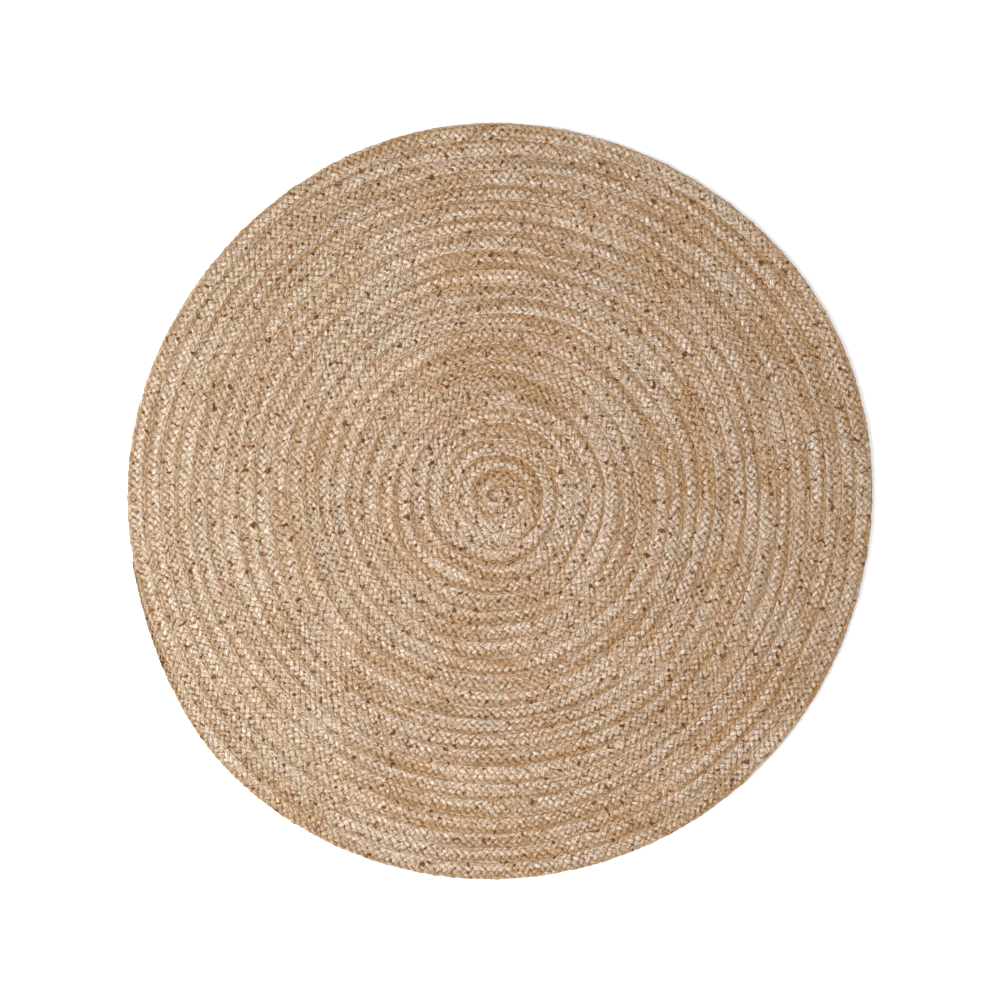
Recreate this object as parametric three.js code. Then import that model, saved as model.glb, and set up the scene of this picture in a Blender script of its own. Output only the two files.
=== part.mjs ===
// A round area rug: one flat braid of jute strands, wound into a spiral and laced to itself.
// Millimetres, +Z up. The underside lies on Z = 0 and the middle of the spiral is at the origin.
// The braid is drawn as its envelope, one round at a time from the middle outwards.
import * as THREE from "three";

const RUG_DIAMETER = 1220; // mean size across
const BRAID_WIDTH = 25.4; // one round; the diameter is shared out into whole rounds near this width
const BRAID_THICKNESS = 10;
const EDGE_BEVEL = 4; // how far the braid's soft edges draw in above and below
const SEAM_GAP = 0.3; // between one round and the next
const CORE_RADIUS = 5; // tightest bend, where the start is tucked in
const TAIL_LENGTH = 400; // the outer end narrows over about this length, in whole steps
const TAIL_TIP_WIDTH = 3;
const TAIL_TIP_HEIGHT = 6;
const END_ANGLE = 190; // degrees, where the outer end stops
const START_STITCHES = 2;
const TAIL_STITCHES = 4;
const THREAD_WIDTH = 2; // lacing thread, in the groove of the underside
const THREAD_CLEARANCE = 1; // from the thread to the groove's sides
const STITCH_WIDTH = 1.6;
const STITCH_HEIGHT = 1.5;
const STITCH_DEPTH = 0.4; // below the top face
const STITCH_CLEARANCE = 0.5; // from a stitch's ends to the groove's sides
const OUTER_STEPS = 48; // straight steps in one outer round

// The hand-wound outline isn't quite round: lobes, height in mm and the direction of one lobe in degrees.
const OUTLINE_WAVES = [
  { lobes: 2, height: 2.6, towards: 60 },
  { lobes: 3, height: 1.0, towards: 18 },
  { lobes: 4, height: 1.3, towards: 13 },
  { lobes: 5, height: 1.5, towards: 29 },
];

const radius = RUG_DIAMETER / 2;
const rounds = Math.round(radius / BRAID_WIDTH);
const pitch = radius / rounds;
const turns = rounds - 0.5; // full-width braid and tail together
const startAngle = END_ANGLE + 360 * turns;

const JUTE = { color: 0xb9976f, roughness: 0.9, metalness: 0 };
const THREAD = { color: 0xa98a63, roughness: 0.85, metalness: 0 };

const rug = new THREE.Group();
rug.name = "braided_jute_rug";

function addPiece(name, geometry, look) {
  const mesh = new THREE.Mesh(geometry, new THREE.MeshStandardMaterial(look));
  mesh.name = name;
  rug.add(mesh);
}

// Straight steps in round n, counted from the middle: doubled twice on the way out.
function stepsInRound(n) {
  if (n <= 2) return OUTER_STEPS / 4;
  if (n <= 6) return OUTER_STEPS / 2;
  return OUTER_STEPS;
}

// The spiral runs outwards clockwise, seen from above.
function angleAt(turn) {
  return THREE.MathUtils.degToRad(startAngle - 360 * turn);
}

// Distance from the middle to the seam that has gone round this many times.
function seamRadius(turn) {
  const angle = angleAt(turn);
  let wave = 0;
  for (const { lobes, height, towards } of OUTLINE_WAVES) {
    wave += height * Math.cos(lobes * (angle - THREE.MathUtils.degToRad(towards)));
  }
  return pitch * turn + wave * (turn / rounds) ** 2;
}

// A point at this turn, this far from the middle, pushed along the braid by `shift`.
function pointAt(turn, distance, z, shift = 0) {
  const angle = angleAt(turn);
  return new THREE.Vector3(
    distance * Math.cos(angle) + shift * Math.sin(angle),
    distance * Math.sin(angle) - shift * Math.cos(angle),
    z,
  );
}

// Six corners of the braid's envelope between two distances from the middle.
function envelope(turn, inner, outer, height, shift) {
  const bevel = Math.min(EDGE_BEVEL, 0.4 * (outer - inner));
  return [
    pointAt(turn, inner, height / 2, shift),
    pointAt(turn, inner + bevel, 0, shift),
    pointAt(turn, outer - bevel, 0, shift),
    pointAt(turn, outer, height / 2, shift),
    pointAt(turn, outer - bevel, height, shift),
    pointAt(turn, inner + bevel, height, shift),
  ];
}

// Half the width of the groove between two rounds, at this height.
function grooveAt(height) {
  return SEAM_GAP / 2 + EDGE_BEVEL * Math.abs(1 - (2 * height) / BRAID_THICKNESS);
}

// Height on the underside where the groove has this half width.
function heightOfGroove(halfWidth) {
  return (BRAID_THICKNESS / 2) * (1 - (halfWidth - SEAM_GAP / 2) / EDGE_BEVEL);
}

// Skins a row of matching convex rings and closes both ends.
function skin(rings) {
  const corners = rings[0].length;
  const positions = rings.flat().flatMap((point) => point.toArray());
  const faces = [];
  for (let s = 0; s + 1 < rings.length; s += 1) {
    for (let i = 0; i < corners; i += 1) {
      const a = s * corners + i;
      const b = s * corners + ((i + 1) % corners);
      faces.push(a, b, b + corners);
      faces.push(a, b + corners, a + corners);
    }
  }
  const last = (rings.length - 1) * corners;
  for (let i = 1; i + 1 < corners; i += 1) {
    faces.push(0, i + 1, i);
    faces.push(last, last + i, last + i + 1);
  }
  const geometry = new THREE.BufferGeometry();
  geometry.setAttribute("position", new THREE.Float32BufferAttribute(positions, 3));
  geometry.setIndex(faces);
  geometry.computeVertexNormals();
  return geometry;
}

// The two ends of a length of braid stand off from the next length by half a gap each.
function endShift(step, steps) {
  if (step === 0) return SEAM_GAP / 2;
  if (step === steps) return -SEAM_GAP / 2;
  return 0;
}

// A length of full-width braid, from one turn count to another.
function braidLength(from, to) {
  const stepsPerTurn = stepsInRound(Math.floor(from) + 1);
  const steps = Math.round((to - from) * stepsPerTurn);
  const rings = [];
  for (let s = 0; s <= steps; s += 1) {
    const turn = from + s / stepsPerTurn;
    const inner = Math.max(seamRadius(turn), CORE_RADIUS) + SEAM_GAP / 2;
    const outer = seamRadius(turn + 1) - SEAM_GAP / 2;
    rings.push(envelope(turn, inner, outer, BRAID_THICKNESS, endShift(s, steps)));
  }
  return skin(rings);
}

// The first turn starts from nothing: its beginning is tucked in and fills the middle of the rug.
function braidStart() {
  const steps = stepsInRound(1);
  const flat = { bottom: [], middle: [], top: [] };
  for (let s = 0; s <= steps; s += 1) {
    const turn = s / steps;
    const outer = Math.max(seamRadius(turn), CORE_RADIUS) - SEAM_GAP / 2;
    const bevel = Math.min(EDGE_BEVEL, 0.6 * outer);
    const shift = s === steps ? -SEAM_GAP / 2 : 0;
    flat.bottom.push(pointAt(turn, outer - bevel, 0, shift));
    flat.middle.push(pointAt(turn, outer, BRAID_THICKNESS / 2, shift));
    flat.top.push(pointAt(turn, outer - bevel, BRAID_THICKNESS, shift));
  }
  // the face where this piece meets the first full round
  const inner = CORE_RADIUS - SEAM_GAP / 2;
  flat.bottom.push(pointAt(1, inner * 0.4, 0, -SEAM_GAP / 2));
  flat.middle.push(pointAt(1, inner, BRAID_THICKNESS / 2, -SEAM_GAP / 2));
  flat.top.push(pointAt(1, inner * 0.4, BRAID_THICKNESS, -SEAM_GAP / 2));
  return stack([flat.bottom, flat.middle, flat.top]);
}

// Skins outlines lying one above another, each running clockwise, and caps the lowest and the highest.
function stack(outlines) {
  const count = outlines[0].length;
  const positions = outlines.flat().flatMap((point) => point.toArray());
  const faces = [];
  for (let level = 0; level + 1 < outlines.length; level += 1) {
    for (let i = 0; i < count; i += 1) {
      const a = level * count + i;
      const b = level * count + ((i + 1) % count);
      faces.push(a, a + count, b + count);
      faces.push(a, b + count, b);
    }
  }
  const highest = (outlines.length - 1) * count;
  for (const [a, b, c] of capFaces(outlines[0])) faces.push(a, b, c);
  for (const [a, b, c] of capFaces(outlines.at(-1))) faces.push(highest + a, highest + c, highest + b);
  const geometry = new THREE.BufferGeometry();
  geometry.setAttribute("position", new THREE.Float32BufferAttribute(positions, 3));
  geometry.setIndex(faces);
  geometry.computeVertexNormals();
  return geometry;
}

// Triangles over an outline, all facing down.
function capFaces(outline) {
  const flat = outline.map((point) => new THREE.Vector2(point.x, point.y));
  const facesDown = ([a, b, c]) => flat[b].clone().sub(flat[a]).cross(flat[c].clone().sub(flat[a])) < 0;
  return THREE.ShapeUtils.triangulateShape(flat, []).map((face) => (facesDown(face) ? face : face.reverse()));
}

// The outer end narrows and thins until it lies against the round inside it.
function braidTail(from, steps) {
  const rings = [];
  for (let s = 0; s <= steps; s += 1) {
    const turn = from + s / OUTER_STEPS;
    const share = s / steps;
    const inner = seamRadius(turn) + SEAM_GAP / 2;
    const full = seamRadius(turn + 1) - SEAM_GAP / 2 - inner;
    const width = THREE.MathUtils.lerp(full, TAIL_TIP_WIDTH, THREE.MathUtils.smoothstep(share, 0, 1));
    const height = THREE.MathUtils.lerp(BRAID_THICKNESS, TAIL_TIP_HEIGHT, share);
    const shift = s === 0 ? SEAM_GAP / 2 : 0;
    rings.push(envelope(turn, inner, inner + width, height, shift));
  }
  return skin(rings);
}

// One thread follows the groove between the rounds on the underside.
function lacingThread(from, to) {
  const bottom = heightOfGroove(THREAD_WIDTH / 2 + THREAD_CLEARANCE);
  const top = bottom + THREAD_WIDTH * Math.sqrt(0.75);
  const rings = [];
  let turn = from;
  while (turn < to + 1e-6) {
    const seam = seamRadius(turn);
    rings.push([
      pointAt(turn, seam - THREAD_WIDTH / 2, bottom),
      pointAt(turn, seam + THREAD_WIDTH / 2, bottom),
      pointAt(turn, seam, top),
    ]);
    turn += 1 / stepsInRound(Math.floor(turn + 1e-6) + 1);
  }
  return skin(rings);
}

// A point on the seam as drawn, which runs straight from step to step.
function seamPoint(turn, z) {
  const steps = stepsInRound(Math.floor(turn) + 1);
  const step = Math.floor(turn * steps + 1e-6);
  const before = pointAt(step / steps, seamRadius(step / steps), z);
  const after = pointAt((step + 1) / steps, seamRadius((step + 1) / steps), z);
  return before.lerp(after, turn * steps - step);
}

// A stitch lies across the groove of the top face.
function addStitch(name, turn) {
  const underside = BRAID_THICKNESS - STITCH_DEPTH - STITCH_HEIGHT;
  const length = 2 * (grooveAt(underside) - STITCH_CLEARANCE);
  const geometry = new THREE.BoxGeometry(length, STITCH_WIDTH, STITCH_HEIGHT);
  geometry.rotateZ(angleAt(turn));
  geometry.translate(...seamPoint(turn, underside + STITCH_HEIGHT / 2).toArray());
  addPiece(name, geometry, THREAD);
}

// Where the tail begins, on a step of the outer round.
const outerStepLength = (2 * Math.PI * radius) / OUTER_STEPS;
const tailSteps = Math.max(2, Math.round(TAIL_LENGTH / outerStepLength));
const tailFrom = turns - tailSteps / OUTER_STEPS;

addPiece("braid_start", braidStart(), JUTE);
for (let n = 1; n <= rounds; n += 1) {
  const name = `braid_round_${String(n).padStart(2, "0")}`;
  addPiece(name, braidLength(n - 1, Math.min(n, tailFrom)), JUTE);
}
addPiece("braid_tail", braidTail(tailFrom, tailSteps), JUTE);
addPiece("lacing_thread", lacingThread(0.5, tailFrom), THREAD);
for (let i = 1; i <= START_STITCHES; i += 1) {
  addStitch(`start_stitch_${i}`, 0.5 + (0.5 * (i - 1)) / START_STITCHES);
}
for (let i = 1; i <= TAIL_STITCHES; i += 1) {
  const share = i / (TAIL_STITCHES + 1);
  addStitch(`tail_stitch_${i}`, tailFrom + (share * tailSteps) / OUTER_STEPS);
}

export default rug;
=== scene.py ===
import bpy
import numpy as np
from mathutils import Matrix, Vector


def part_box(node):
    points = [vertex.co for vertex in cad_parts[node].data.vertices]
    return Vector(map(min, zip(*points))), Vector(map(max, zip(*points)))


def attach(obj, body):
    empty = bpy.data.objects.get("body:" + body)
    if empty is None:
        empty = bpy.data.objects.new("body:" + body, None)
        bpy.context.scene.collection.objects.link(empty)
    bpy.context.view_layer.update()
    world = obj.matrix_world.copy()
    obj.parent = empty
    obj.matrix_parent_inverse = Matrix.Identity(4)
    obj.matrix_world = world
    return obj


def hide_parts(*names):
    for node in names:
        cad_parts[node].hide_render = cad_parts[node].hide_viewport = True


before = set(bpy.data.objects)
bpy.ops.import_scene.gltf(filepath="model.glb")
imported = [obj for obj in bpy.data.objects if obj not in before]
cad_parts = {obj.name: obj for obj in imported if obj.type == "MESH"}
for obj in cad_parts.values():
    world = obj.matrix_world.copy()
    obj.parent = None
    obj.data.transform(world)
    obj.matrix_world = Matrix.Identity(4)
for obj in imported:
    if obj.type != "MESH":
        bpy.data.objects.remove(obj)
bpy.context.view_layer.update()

# ---------------------------------------------------------------- view from straight above
# The camera looks straight down on the rug, which fills three quarters of the view, a little off the
# middle of the spiral.
VIEW_HEIGHT = 2.262
VIEW_CENTRE = (0.0060, -0.0044)

camera = bpy.data.objects.new("view", bpy.data.cameras.new("view"))
camera.data.lens = 50
camera.data.sensor_width = 36
camera.location = (*VIEW_CENTRE, VIEW_HEIGHT)
bpy.context.scene.collection.objects.link(camera)
bpy.context.scene.camera = camera

# ---------------------------------------------------------------- floor and studio light
# A plain white floor, a white room, and one large soft light to the left of the rug and above it.
# The floor is only the ground it lies on, and no part of it.
FLOOR_SIZE = 8.0
FLOOR_WHITE = 0.93
FLOOR_DROP = 0.0005  # a hair below the rug
ROOM_LIGHT = 1.03
KEY_POWER = 67.5
KEY_SIZE = 1.6
KEY_PLACE = (-1.7, -0.55, 1.7)

floor_mesh = bpy.data.meshes.new("floor")
half = FLOOR_SIZE / 2
floor_mesh.from_pydata(
    [(-half, -half, 0), (half, -half, 0), (half, half, 0), (-half, half, 0)], [], [(0, 1, 2, 3)]
)
floor = bpy.data.objects.new("floor", floor_mesh)
floor.location.z = -FLOOR_DROP
bpy.context.scene.collection.objects.link(floor)
floor_paint = bpy.data.materials.new("white_floor")
floor_paint.use_nodes = True
floor_shader = floor_paint.node_tree.nodes["Principled BSDF"]
floor_shader.inputs["Base Color"].default_value = (FLOOR_WHITE, FLOOR_WHITE, FLOOR_WHITE, 1)
floor_shader.inputs["Roughness"].default_value = 1.0
floor_shader.inputs["Specular IOR Level"].default_value = 0.0
floor_mesh.materials.append(floor_paint)

room = bpy.data.worlds.new("room")
room.use_nodes = True
room.node_tree.nodes["Background"].inputs["Color"].default_value = (1, 1, 1, 1)
room.node_tree.nodes["Background"].inputs["Strength"].default_value = ROOM_LIGHT
bpy.context.scene.world = room

key_light = bpy.data.lights.new("key", "AREA")
key_light.energy = KEY_POWER
key_light.size = KEY_SIZE
key = bpy.data.objects.new("key", key_light)
key.location = KEY_PLACE
key.rotation_euler = (-key.location).to_track_quat("-Z", "Y").to_euler()
bpy.context.scene.collection.objects.link(key)
bpy.context.scene.view_settings.view_transform = "Standard"

# ---------------------------------------------------------------- the braid, from the middle outwards
# One flat braid of undyed jute, 25 mm wide and 10 mm thick, wound edge to edge. Each of its five strands
# is two plies lightly twisted together, and goes over one and under one of the others. The rounds press
# on each other, and the lacing underneath keeps them so.
RUG_RADIUS = 0.610
ROUNDS = len([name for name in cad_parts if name.startswith("braid_round_")])
PITCH = RUG_RADIUS / ROUNDS
TURNS = ROUNDS - 0.5
THICKNESS = 0.010
END_BEARING = np.radians(190)
OUTLINE_WAVES = ((2, 0.0026, 60), (3, 0.0010, 18), (4, 0.0013, 13), (5, 0.0015, 29))  # lobes, height, angle
WANDER = 0.0024  # of the seams between rounds, made by hand
WANDER_WAVES = ((2, 0.9), (3, -0.6), (4, 0.5), (5, -0.8), (7, 0.7))  # lobes, and their lag in each turn
CALM_MIDDLE = 6  # turns over which the wander sets in, and then dies out again at the edge
CALM_EDGE = 2.5
START_TURN = -0.84  # the tucked start is this part of a turn before the first full round
EYE_RADIUS = 0.0015  # the small hole left in the middle
TAIL_TURNS = 5 / 48
TAIL_TIP = 0.12  # of the full width
TAIL_THIN = 0.65  # of the full thickness
START_THIN = 0.6

STRANDS = 5
PLAIT_LENGTH = 0.060  # over which each strand goes to the other edge and back
PLAIT_STEPS = 30
OVER_UNDER = (0, 1, -1, 1, -1, 0, 1, -1, 1, -1, 0)  # each strand's layer at every tenth of that way
EDGE_OVERLAP = 0.0030  # the rounds are pressed together, so the strands' edges bed into each other
LAYER_HEIGHT = 0.0022
MIDDLE_HALF = (0.0046, 0.0026)  # half width and half height of a strand in the middle of the braid
EDGE_HALF = (0.0030, 0.0036)  # and as it turns at the edge
LEAN = 0.0003  # each round leans on the one inside it, so its outer edge lies this much lower
SQUARENESS = 2.4  # 2 would be an oval strand
PLIES = 2
PLY_SHAPE = (0.80, 0.97, 1.05, 1.05, 0.97)
TWIST_LENGTH = 0.045
UNEVEN_PACE = (0.08, 0.025)  # of the whole braid and of one strand, as shares of a plait length
UNEVEN_SIDE = 0.0006
UNEVEN_HEIGHT = 0.0004
UNEVEN_GIRTH = (0.07, 0.05)  # lump by lump, and over a long stretch
UNEVEN_PLY = 0.08
FURROWS = (0.206, 0.5, 0.794)  # shares of the width where every strand dips, between the rows of lumps
FURROW_WIDTH = 0.035
# how much painted shade darkens the furrows
FURROW_SHADE = 0.55
FIBRE_RADIUS = 0.005  # round which the fibre pattern goes, on every strand
LOWEST = 0.0001  # pressed flat where it lies on the floor


def bearing(turn):
    """Direction of the braid from the middle of the rug; it winds outwards clockwise from above."""
    return END_BEARING + 2 * np.pi * (TURNS - turn)


def smooth(x):
    x = np.clip(x, 0, 1)
    return x * x * (3 - 2 * x)


def drift(place, spacing, seed):
    """Smooth hand-made unevenness between -1 and 1 that changes over this spacing."""
    values = np.random.default_rng(seed).uniform(-1, 1, 20000)
    place = np.asarray(place) / spacing + 20
    before = np.floor(place).astype(int)
    share = smooth(place - before)
    return values[before] * (1 - share) + values[before + 1] * share


def seam(turn):
    """Distance from the middle to the seam that has gone round this many times."""
    way = bearing(turn)
    wave = sum(high * np.cos(lobes * (way - np.radians(at))) for lobes, high, at in OUTLINE_WAVES)
    loose = 0.7 * drift(turn, 0.09, 7)
    for lobes, lag in WANDER_WAVES:
        loose = loose + 0.6 * np.cos(lobes * way + lag * turn + 2.1 * lobes)
    loose = WANDER * loose * smooth(turn / CALM_MIDDLE) * smooth((ROUNDS - 0.6 - turn) / CALM_EDGE)
    return PITCH * turn + wave * (turn / ROUNDS) ** 2 + loose


def braid_edges(turn):
    """Distances of the braid's inner and outer edge from the middle, and its thickness as a share."""
    inner = np.hypot(seam(np.maximum(turn, 0)), EYE_RADIUS)
    width = seam(turn + 1) - inner
    tail = (turn - (TURNS - TAIL_TURNS)) / TAIL_TURNS
    width = width * (1 - (1 - TAIL_TIP) * smooth(tail))
    thick = 1 - (1 - TAIL_THIN) * np.clip(tail, 0, 1)
    thick = thick * (START_THIN + (1 - START_THIN) * smooth((turn - START_TURN) / -START_TURN))
    return inner, inner + width, thick


def route_points(turn):
    inner, outer, _ = braid_edges(turn)
    middle = (inner + outer) / 2
    return np.stack([middle * np.cos(bearing(turn)), middle * np.sin(bearing(turn))], -1)


# Length along the braid for each turn count, so that it keeps one pace from the middle to the end.
fine_turns = np.linspace(START_TURN, TURNS, 24000)
steps_along = np.linalg.norm(np.diff(route_points(fine_turns), axis=0), axis=1)
fine_lengths = np.concatenate([[0], np.cumsum(steps_along)])


def length_at(turn):
    return float(np.interp(turn, fine_turns, fine_lengths))


def strand_rings(along, strand):
    """The outline of one strand at each length along the braid, with what its material needs to know."""
    turn = np.interp(along, fine_lengths, fine_turns)
    inner, outer, thick = braid_edges(turn)
    centre = route_points(turn)
    ahead = route_points(np.interp(along + 1e-4, fine_lengths, fine_turns) + 1e-7)
    behind = route_points(np.interp(along - 1e-4, fine_lengths, fine_turns) - 1e-7)
    run = ahead - behind
    run /= np.linalg.norm(run, axis=1)[:, None]
    outward = np.stack([-run[:, 1], run[:, 0]], -1)

    seed = 100 * (strand + 1)
    full = outer - inner + EDGE_OVERLAP
    scale = full / (PITCH + EDGE_OVERLAP)
    swing = full / 2 - EDGE_HALF[0] * scale
    cycle = along / PLAIT_LENGTH + strand / STRANDS
    cycle += UNEVEN_PACE[0] * drift(along, 0.065, 5) + UNEVEN_PACE[1] * drift(along, 0.025, seed)
    side = -swing * np.cos(2 * np.pi * cycle)
    side += UNEVEN_SIDE * scale * drift(along, 0.017, seed + 1)
    tenth = (cycle % 1) * 10
    before = np.minimum(tenth.astype(int), 9)
    layers = np.array(OVER_UNDER)
    layer = layers[before] + (layers[before + 1] - layers[before]) * smooth(tenth - before)
    high = THICKNESS / 2 * thick + LAYER_HEIGHT * thick * layer
    high += UNEVEN_HEIGHT * thick * drift(along, 0.013, seed + 2)
    middle = np.stack([centre[:, 0] + outward[:, 0] * side, centre[:, 1] + outward[:, 1] * side, high], -1)

    heading = np.gradient(middle, axis=0)
    heading /= np.linalg.norm(heading, axis=1)[:, None]
    across = np.cross(heading, (0, 0, 1))
    across /= np.linalg.norm(across, axis=1)[:, None]
    up = np.cross(across, heading)

    turning = np.cos(2 * np.pi * cycle) ** 6
    half_width = (MIDDLE_HALF[0] + (EDGE_HALF[0] - MIDDLE_HALF[0]) * turning) * scale
    half_height = MIDDLE_HALF[1] + (EDGE_HALF[1] - MIDDLE_HALF[1]) * turning
    half_height = (half_height + LEAN * np.cos(2 * np.pi * cycle)) * thick
    plump = 1 + UNEVEN_GIRTH[0] * drift(along, 0.013, seed + 3)
    plump = plump + UNEVEN_GIRTH[1] * drift(along, 0.3, seed + 4)
    slubs = [1 + UNEVEN_PLY * drift(along, 0.008, seed + 10 + ply) for ply in range(PLIES)]
    points = PLIES * len(PLY_SHAPE)
    own = 2 * np.pi * np.arange(points) / points
    shape = np.tile(PLY_SHAPE, PLIES) * np.repeat(np.stack(slubs, -1), len(PLY_SHAPE), axis=1)
    angle = own[None, :] + (2 * np.pi * along / TWIST_LENGTH + strand)[:, None]
    cos, sin = np.cos(angle), np.sin(angle)
    round_off = (np.abs(cos) ** SQUARENESS + np.abs(sin) ** SQUARENESS) ** (-1 / SQUARENESS)
    wide = (half_width * plump)[:, None] * shape * round_off * cos
    tall = (half_height * plump)[:, None] * shape * round_off * sin
    rings = middle[:, None] + across[:, None] * wide[..., None] + up[:, None] * tall[..., None]

    rings[..., 2] = np.maximum(rings[..., 2], LOWEST)
    # painted shade where a strand lies deep between others, except on the outer side of the last round and
    # on the tail
    own_half = (THICKNESS / 2 * thick)[:, None]
    lift = np.abs(rings[..., 2] - own_half) / own_half
    place = 0.5 + (side[:, None] - wide * np.sum(across[:, :2] * -outward, axis=1)[:, None]) / full[:, None]
    open_side = (turn[:, None] > TURNS - 1) & (place > 0.7) | (turn[:, None] > TURNS - TAIL_TURNS)
    buried_shade = np.where(open_side, 0, 1 - smooth((lift - 0.28) / 0.36))
    # painted shade in the furrows where every strand dips
    furrow = sum(np.exp(-(((place - share) / FURROW_WIDTH) ** 2)) for share in FURROWS)
    buried_shade = np.maximum(buried_shade, FURROW_SHADE * furrow)
    # the inner two thirds of the braid's width, which stand a little higher; the rest of the width gets
    # painted shade in the material
    raised = smooth((0.70 - place) / 0.14) * smooth((place + 0.05) / 0.22)
    # painted shade in the groove between the plies, at the first point of each ply's outline
    groove_shade = np.tile([1.0, 0, 0, 0, 0], PLIES)[None, :] * np.ones_like(lift)
    fibre = np.stack(
        [
            along[:, None] * np.ones_like(lift),
            FIBRE_RADIUS * np.cos(own) * np.ones_like(lift) + strand,
            FIBRE_RADIUS * np.sin(own) * np.ones_like(lift),
        ],
        -1,
    )
    row = np.stack([along[:, None] * np.ones_like(lift), place, 0 * lift], -1)
    return rings, {"fibre": fibre, "row": row, "buried_shade": buried_shade, "groove_shade": groove_shade, "raised": raised}


def tube_mesh(name, tubes, rows):
    """One mesh of closed tubes, each its rings and their attributes. The map lays the tubes in rows."""
    places, faces, facts, uvs = [], [], {}, []
    start = 0
    rows_in_all = rows * len(tubes)
    for t, (rings, attributes) in enumerate(tubes):
        count, points = rings.shape[:2]
        places.append(rings.reshape(-1, 3))
        for key, values in attributes.items():
            facts.setdefault(key, []).append(values.reshape(count * points, -1))
        step = np.arange(count - 1)[:, None]
        point = np.arange(points)[None, :]
        after = (point + 1) % points
        here, next_on = step * points, (step + 1) * points
        quad = np.stack([here + point, here + after, next_on + after, next_on + point], -1)
        faces.append((quad + start).reshape(-1, 4))
        row_steps = int(np.ceil((count - 1) / rows))
        row = step // row_steps
        left = (step - row * row_steps) / row_steps
        right = left + 1 / row_steps
        low = (t * rows + row + 0.04 + 0.92 * point / points) / rows_in_all
        high = low + 0.92 / points / rows_in_all
        flat = np.broadcast_arrays(left, low, left, high, right, high, right, low)
        uvs.append(np.stack(flat, -1).reshape(-1, 4, 2))
        start += count * points
    places = np.concatenate(places)
    faces = np.concatenate(faces)
    uvs = np.concatenate(uvs).reshape(-1, 2)
    mesh = bpy.data.meshes.new(name)
    ends, first = [], 0
    for rings, _ in tubes:
        count, points = rings.shape[:2]
        ends.append(np.arange(first, first + points)[::-1])
        ends.append(np.arange(first + (count - 1) * points, first + count * points))
        first += count * points
    loops = np.concatenate([faces.ravel(), *ends])
    sizes = np.concatenate([np.full(len(faces), 4), [len(end) for end in ends]])
    mesh.vertices.add(len(places))
    mesh.vertices.foreach_set("co", places.astype(np.float32).ravel())
    mesh.loops.add(len(loops))
    mesh.loops.foreach_set("vertex_index", loops.astype(np.int32))
    mesh.polygons.add(len(sizes))
    mesh.polygons.foreach_set("loop_start", np.concatenate([[0], np.cumsum(sizes)[:-1]]).astype(np.int32))
    mesh.polygons.foreach_set("use_smooth", np.arange(len(sizes)) < len(faces))
    layer = mesh.uv_layers.new(name="OFBake")
    end_uvs = np.full((len(loops) - len(uvs), 2), 0.001)
    layer.uv.foreach_set("vector", np.concatenate([uvs, end_uvs]).astype(np.float32).ravel())
    for key, values in facts.items():
        values = np.concatenate(values).astype(np.float32)
        kind, field = ("FLOAT_VECTOR", "vector") if values.shape[1] == 3 else ("FLOAT", "value")
        mesh.attributes.new(key, kind, "POINT").data.foreach_set(field, values.ravel())
    mesh.update()
    mesh.validate()
    return mesh


class Wire:
    """One output of a shader node. Sums and products of wires and numbers add Math nodes."""

    def __init__(self, tree, socket):
        self.tree, self.socket = tree, socket

    def maths(self, operation, other, other_first=False):
        node = self.tree.nodes.new("ShaderNodeMath")
        node.operation = operation
        values = (other, self) if other_first else (self, other)
        for socket, value in zip(node.inputs, values):
            feed(self.tree, socket, value)
        return Wire(self.tree, node.outputs[0])

    def __add__(self, other):
        return self.maths("ADD", other)

    def __radd__(self, other):
        return self.maths("ADD", other, True)

    def __sub__(self, other):
        return self.maths("SUBTRACT", other)

    def __rsub__(self, other):
        return self.maths("SUBTRACT", other, True)

    def __mul__(self, other):
        return self.maths("MULTIPLY", other)

    def __rmul__(self, other):
        return self.maths("MULTIPLY", other, True)


def feed(tree, socket, value):
    if isinstance(value, Wire):
        tree.links.new(value.socket, socket)
    else:
        socket.default_value = value


class Finish:
    """A material of nodes round one Principled shader, whose plain values are given by name."""

    def __init__(self, name, **plain):
        self.material = bpy.data.materials.new(name)
        self.material.use_nodes = True
        self.tree = self.material.node_tree
        self.shader = self.tree.nodes["Principled BSDF"]
        for key, value in plain.items():
            self.shader.inputs[key.replace("_", " ")].default_value = value

    def node(self, kind, settings=None, output=0, **inputs):
        """Adds a node: its settings first, then its sockets, by name or by the letter i and a number."""
        node = self.tree.nodes.new("ShaderNode" + kind)
        for key, value in (settings or {}).items():
            setattr(node, key, value)
        for key, value in inputs.items():
            socket = node.inputs[int(key[1:]) if key[1:].isdigit() else key]
            feed(self.tree, socket, value)
        return Wire(self.tree, node.outputs[output])

    def fact(self, name, output="Fac"):
        return self.node("Attribute", {"attribute_name": name}, output)

    def stretched(self, vector, by):
        return self.node("VectorMath", {"operation": "MULTIPLY"}, i0=vector, i1=by)

    def noise(self, vector, detail=2.0, rough=0.5):
        """Noise of scale 1 on a stretched vector."""
        return self.node("TexNoise", Vector=vector, Scale=1.0, Detail=detail, Roughness=rough)

    def cells(self, vector):
        """Distance from the middle of the nearest cell, about 0 to 1."""
        return self.node("TexVoronoi", {"feature": "F1"}, Vector=vector, Scale=1.0)

    def between(self, value, low, high):
        """0 below low, 1 above high, smooth in between."""
        settings = {"interpolation_type": "SMOOTHSTEP", "clamp": True}
        return self.node("MapRange", settings, i0=value, i1=low, i2=high, i3=0.0, i4=1.0)

    def mix(self, share, first, second, blend="MIX"):
        settings = {"data_type": "RGBA", "blend_type": blend, "clamp_factor": True}
        return self.node("Mix", settings, 2, i0=share, i6=first, i7=second)

    def into(self, **sockets):
        for key, wire in sockets.items():
            feed(self.tree, self.shader.inputs[key.replace("_", " ")], wire)


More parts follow.
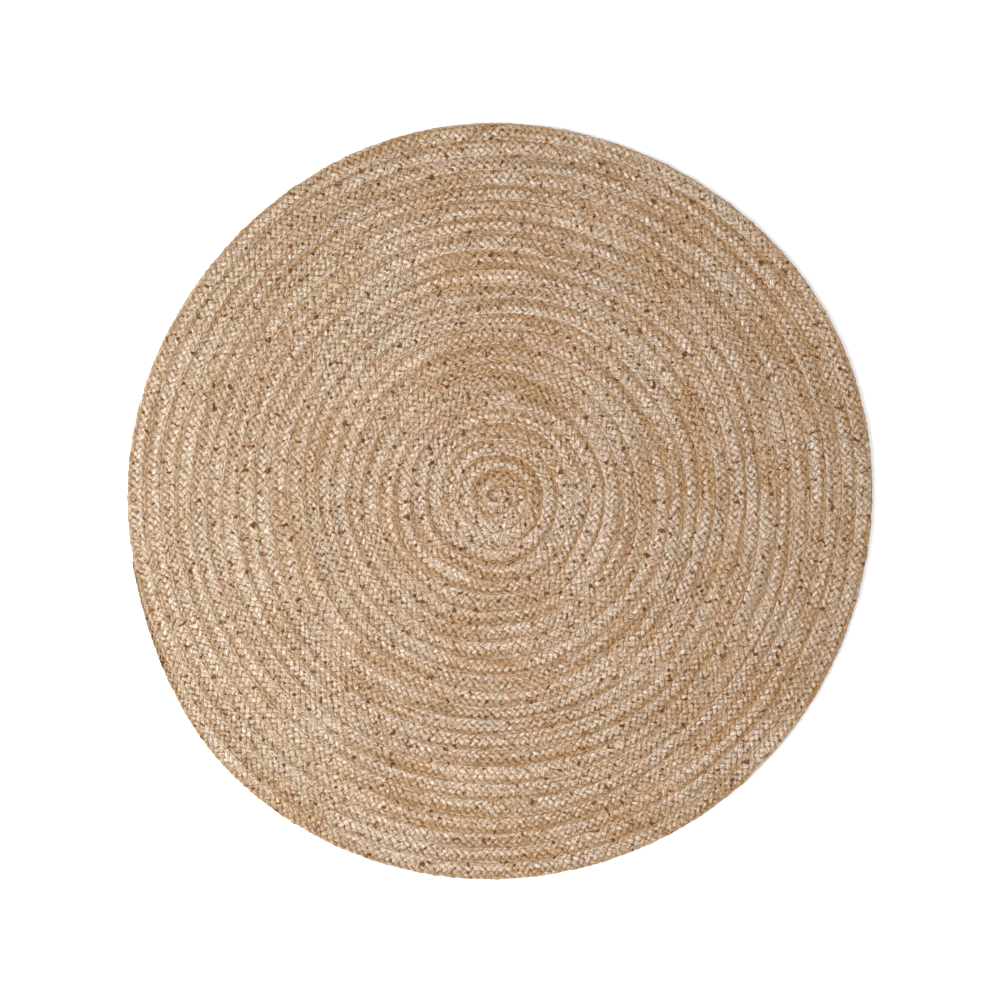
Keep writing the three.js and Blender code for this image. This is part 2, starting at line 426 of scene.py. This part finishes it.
PALE_JUTE = (0.711, 0.583, 0.483, 1)
GOLD_JUTE = (0.556, 0.379, 0.221, 1)
GREY_JUTE = (0.586, 0.513, 0.412, 1)
RUST_FLECK = (0.420, 0.180, 0.070, 1)
DARK_FLECK = (0.075, 0.032, 0.012, 1)
# the brown of painted shade, mixed in where the jute lies deep, in furrows and in the hollows between plies
PAINTED_SHADE_BROWN = (0.165, 0.085, 0.024, 1)
# painted shade for the lower outer half of each round
LOW_SIDE_SHADE = (0.66, 0.59, 0.53, 1)  # these three darken by multiplying
UNRUBBED = (0.62, 0.52, 0.40, 1)
# the fibre's tone between knots, partly painted shade in the gaps
KNOT_GAP_TONE_AND_SHADE = (0.44, 0.335, 0.220, 1)


def jute(name):
    finish = Finish(name, Sheen_Weight=0.02, Sheen_Roughness=0.5, Specular_IOR_Level=0.08)
    fibre = finish.fact("fibre", "Vector")
    buried_shade = finish.fact("buried_shade")
    groove_shade = finish.fact("groove_shade")
    raised = finish.fact("raised")
    row = finish.fact("row", "Vector")
    # rows of lumps that run along the braid, worn pale or left golden for a hand's length or two
    worn = finish.noise(finish.stretched(row, (5.0, 4.5, 0)), 2.0)
    # long golden and pale stretches, and greyer ones, then fibre by fibre
    stretch = finish.noise(finish.stretched(fibre, (4.0, 0.25, 0)), 3.0)
    grey = finish.noise(finish.stretched(fibre, (5.0, 0.3, 40)), 1.0)
    yarn = finish.noise(finish.stretched(fibre, (16.0, 260.0, 260.0)), 1.0)
    place = finish.node("TexCoord", None, "Object")
    patch = finish.noise(finish.stretched(place, (9.0, 9.0, 0)), 3.0)
    tone = stretch * 0.35 + worn * 0.35 + patch * 0.2 + yarn * 0.05 + raised * 0.05
    colour = finish.mix(finish.between(tone, 0.43, 0.58), GOLD_JUTE, PALE_JUTE)
    colour = finish.mix(finish.between(grey, 0.50, 0.66) * 0.6, colour, GREY_JUTE)
    # painted light: the left side, towards the key light, is mixed a little paler and greyer
    painted_left_light = finish.between(finish.node("SeparateXYZ", None, 0, Vector=place), 0.1, -0.55)
    colour = finish.mix(painted_left_light * 0.4, colour, GREY_JUTE)
    # the outer half of each round lies lower and is darkened with painted shade, more so in some stretches,
    # and is worn less pale
    lean = finish.between(finish.noise(finish.stretched(fibre, (4.0, 0.3, 0)), 1.0), 0.3, 0.7)
    colour = finish.mix((1 - raised) * (0.05 + lean * 0.4), colour, LOW_SIDE_SHADE, "MULTIPLY")
    rubbed = finish.between(worn + raised * 0.05, 0.42, 0.59)
    colour = finish.mix((1 - rubbed) * 0.42, colour, UNRUBBED, "MULTIPLY")
    # knots of twisted fibre some 3 mm long, clumps a millimetre or two across, and single fibres; the
    # darkening between the knots is partly the fibre's own tone and partly painted shade in the gaps
    knot = finish.cells(finish.stretched(fibre, (300.0, 540.0, 540.0)))
    clump = finish.noise(finish.stretched(fibre, (560.0, 760.0, 760.0)), 2.0, 0.6)
    streak = finish.noise(finish.stretched(fibre, (130.0, 1600.0, 1600.0)), 3.0, 0.6)
    light = finish.between(clump * 0.48 + streak * 0.22 + (1 - knot) * 0.5, 0.38, 0.70)
    colour = finish.mix(1 - light, colour, KNOT_GAP_TONE_AND_SHADE, "MULTIPLY")
    # flecks of bark and rust-coloured fibre
    rust = finish.between(finish.noise(finish.stretched(fibre, (40.0, 150.0, 150.0)), 1.0), 0.66, 0.76)
    dark = finish.between(finish.noise(finish.stretched(fibre, (170.0, 380.0, 380.0)), 2.0), 0.67, 0.72)
    colour = finish.mix(rust * 0.55, colour, RUST_FLECK)
    colour = finish.mix(dark * 0.75, colour, DARK_FLECK)
    # rougher spots where bark was left on, brown with a near-black middle
    bark = finish.noise(finish.stretched(place, (80.0, 80.0, 0)), 2.0)
    colour = finish.mix(finish.between(bark, 0.60, 0.65) * 0.6, colour, RUST_FLECK)
    colour = finish.mix(finish.between(bark, 0.64, 0.67) * 0.85, colour, DARK_FLECK)
    # painted shade deep in the braid, in the furrows between the rows of lumps, and between the plies
    colour = finish.mix(buried_shade * 0.45, colour, PAINTED_SHADE_BROWN)
    colour = finish.mix(groove_shade * 0.4, colour, PAINTED_SHADE_BROWN)
    relief = finish.noise(finish.stretched(fibre, (260.0, 2600.0, 2600.0)), 3.0, 0.65)
    bump = finish.node("Bump", Strength=0.6, Distance=0.0015, Height=relief * 0.5 + light)
    finish.into(Base_Color=colour, Roughness=0.78 + relief * 0.2, Normal=bump)
    return finish.material


braid_jute = jute("jute_braid")


MAP_ROW = 0.022  # a strand's girth, which sets how many rows its length takes on the map


def add_braid(name, first_turn, last_turn, node):
    """The braid between two turn counts, in place of that node's plain envelope."""
    start, stop = length_at(first_turn), length_at(last_turn)
    steps = max(4, round((stop - start) / PLAIT_LENGTH * PLAIT_STEPS))
    along = np.linspace(start, stop, steps + 1)
    rows = max(1, round(np.sqrt((stop - start) / (STRANDS * MAP_ROW))))
    mesh = tube_mesh(name, [strand_rings(along, strand) for strand in range(STRANDS)], rows)
    mesh.materials.append(braid_jute)
    piece = bpy.data.objects.new(name, mesh)
    bpy.context.scene.collection.objects.link(piece)
    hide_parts(node)
    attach(piece, "root")


add_braid("start_plait", START_TURN, 0, "braid_start")
for number in range(1, ROUNDS + 1):
    last = min(number, TURNS - TAIL_TURNS)
    add_braid(f"round_{number:02d}_plait", number - 1, last, f"braid_round_{number:02d}")
add_braid("tail_plait", TURNS - TAIL_TURNS, TURNS, "braid_tail")

# ---------------------------------------------------------------- the lacing under the rug
# One long two-ply jute thread holds the rounds edge to edge. It zigzags across every seam on the underside,
# dipping into the braid on either side, from the first seam out to the tail.
LACING_FROM = 0.5
LACING_WIDTH = 0.0017
LACING_STITCH = 0.012
LACING_REACH = 0.0040
LACING_STEPS = 6
LACING_DIP = 0.0016  # up into the braid at both ends of each stitch
PLY_TURN = 0.006  # over which the thread's two plies turn once about each other
GOLD_THREAD = (0.40, 0.27, 0.15, 1)
PALE_THREAD = (0.52, 0.40, 0.27, 1)


def thread_rings(path, width, sides, ply=0.0):
    """A thread along this path. Its two plies show as lobes, as deep as ply says."""
    heading = np.gradient(path, axis=0)
    heading /= np.linalg.norm(heading, axis=1)[:, None]
    across = np.cross(heading, (0, 0, 1))
    across /= np.maximum(np.linalg.norm(across, axis=1), 1e-9)[:, None]
    up = np.cross(across, heading)
    along = np.concatenate([[0], np.cumsum(np.linalg.norm(np.diff(path, axis=0), axis=1))])
    own = 2 * np.pi * np.arange(sides) / sides
    lobes = 1 + ply * np.cos(2 * (own[None, :] - 2 * np.pi * along[:, None] / PLY_TURN))
    wide = (width / 2 * lobes * np.cos(own))[..., None]
    tall = (width / 2 * lobes * np.sin(own))[..., None]
    rings = path[:, None] + across[:, None] * wide + up[:, None] * tall
    fibre = np.stack(
        [along[:, None] * np.ones(sides), width / 2 * np.cos(own) * np.ones_like(lobes), 0 * lobes], -1
    )
    # with it a mask of the hollows between the plies, for painted shade; on a thread without ply lobes the
    # mask is 1 all round
    return rings, {"fibre": fibre, "fold_shade": 1 - (lobes - lobes.min()) / max(np.ptp(lobes), 1e-9)}


def thread_jute(name):
    finish = Finish(name, Sheen_Weight=0.1, Sheen_Roughness=0.5, Specular_IOR_Level=0.25)
    fibre = finish.fact("fibre", "Vector")
    fold_shade = finish.fact("fold_shade")
    tone = finish.noise(finish.stretched(fibre, (25.0, 300.0, 300.0)), 2.0)
    streak = finish.noise(finish.stretched(fibre, (500.0, 2400.0, 2400.0)), 3.0, 0.6)
    colour = finish.mix(finish.between(tone, 0.35, 0.65), GOLD_THREAD, PALE_THREAD)
    colour = finish.mix(finish.between(streak, 0.3, 0.7) * 0.6, colour, (0.50, 0.43, 0.36, 1), "MULTIPLY")
    # painted shade in the hollows between the plies, over the whole of a thread without plies
    colour = finish.mix(fold_shade * 0.5, colour, PAINTED_SHADE_BROWN)
    bump = finish.node("Bump", Strength=0.6, Distance=0.0003, Height=streak)
    finish.into(Base_Color=colour, Roughness=0.75 + streak * 0.2, Normal=bump)
    return finish.material


lacing_jute = thread_jute("lacing_thread")


def add_thread(name, paths, width, sides, ply, rows, node):
    mesh = tube_mesh(name, [thread_rings(path, width, sides, ply) for path in paths], rows)
    mesh.materials.append(lacing_jute)
    piece = bpy.data.objects.new(name, mesh)
    bpy.context.scene.collection.objects.link(piece)
    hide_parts(node)
    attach(piece, "root")


seam_turns = np.linspace(LACING_FROM, TURNS - TAIL_TURNS, 24000)
seam_ways = seam(seam_turns)
seam_bearing = bearing(seam_turns)
seam_line = np.stack([seam_ways * np.cos(seam_bearing), seam_ways * np.sin(seam_bearing)], -1)
seam_length = np.concatenate([[0], np.cumsum(np.linalg.norm(np.diff(seam_line, axis=0), axis=1))])
lacing_along = np.arange(0, seam_length[-1], LACING_STITCH / LACING_STEPS)
lacing_turn = np.interp(lacing_along, seam_length, seam_turns)
zigzag = 2 * np.pi * lacing_along / LACING_STITCH + 0.5 * drift(lacing_along, 0.03, 31)
lacing_way = seam(lacing_turn) + LACING_REACH * np.sin(zigzag)
lacing_height = LACING_WIDTH / 2 + LACING_DIP * np.sin(zigzag) ** 4
lacing_bearing = bearing(lacing_turn)
lacing_line = (lacing_way * np.cos(lacing_bearing), lacing_way * np.sin(lacing_bearing), lacing_height)
lacing_path = np.stack(lacing_line, -1)
add_thread("lacing", [lacing_path], LACING_WIDTH, 4, 0.0, 30, "lacing_thread")

# ---------------------------------------------------------------- stitches at the start and the tail
# Short stitches of the same thread over the top, two at the tucked start and four along the tail. Each goes
# over the seam twice, side by side, and down into the braid on both sides.
STITCH_WIDTH = 0.0013
STITCH_SPREAD = 0.0008
STITCH_REACH = 0.003  # at least, to either side of the seam
STITCH_DIP = 0.0035


def stitch_paths(node):
    low, high = (np.array(corner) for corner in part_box(node))
    centre = (low + high) / 2
    outward = centre[:2] / np.linalg.norm(centre[:2])
    ahead = np.array([outward[1], -outward[0]])
    reach = max(np.abs((high - low)[:2] @ np.abs(outward)) / 2, STITCH_REACH)
    share = np.linspace(-1, 1, 15)
    paths = []
    for side in (-1, 1):
        over = outward * (reach * np.sin(share * np.pi / 2))[:, None]
        flat = centre[:2] + over + ahead * side * STITCH_SPREAD
        height = high[2] - STITCH_WIDTH / 2 - STITCH_DIP * share**4
        paths.append(np.column_stack([flat, height]))
    return paths


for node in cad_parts:
    if "_stitch_" in node:
        add_thread(f"{node}_thread", stitch_paths(node), STITCH_WIDTH, 10, 0.12, 1, node)
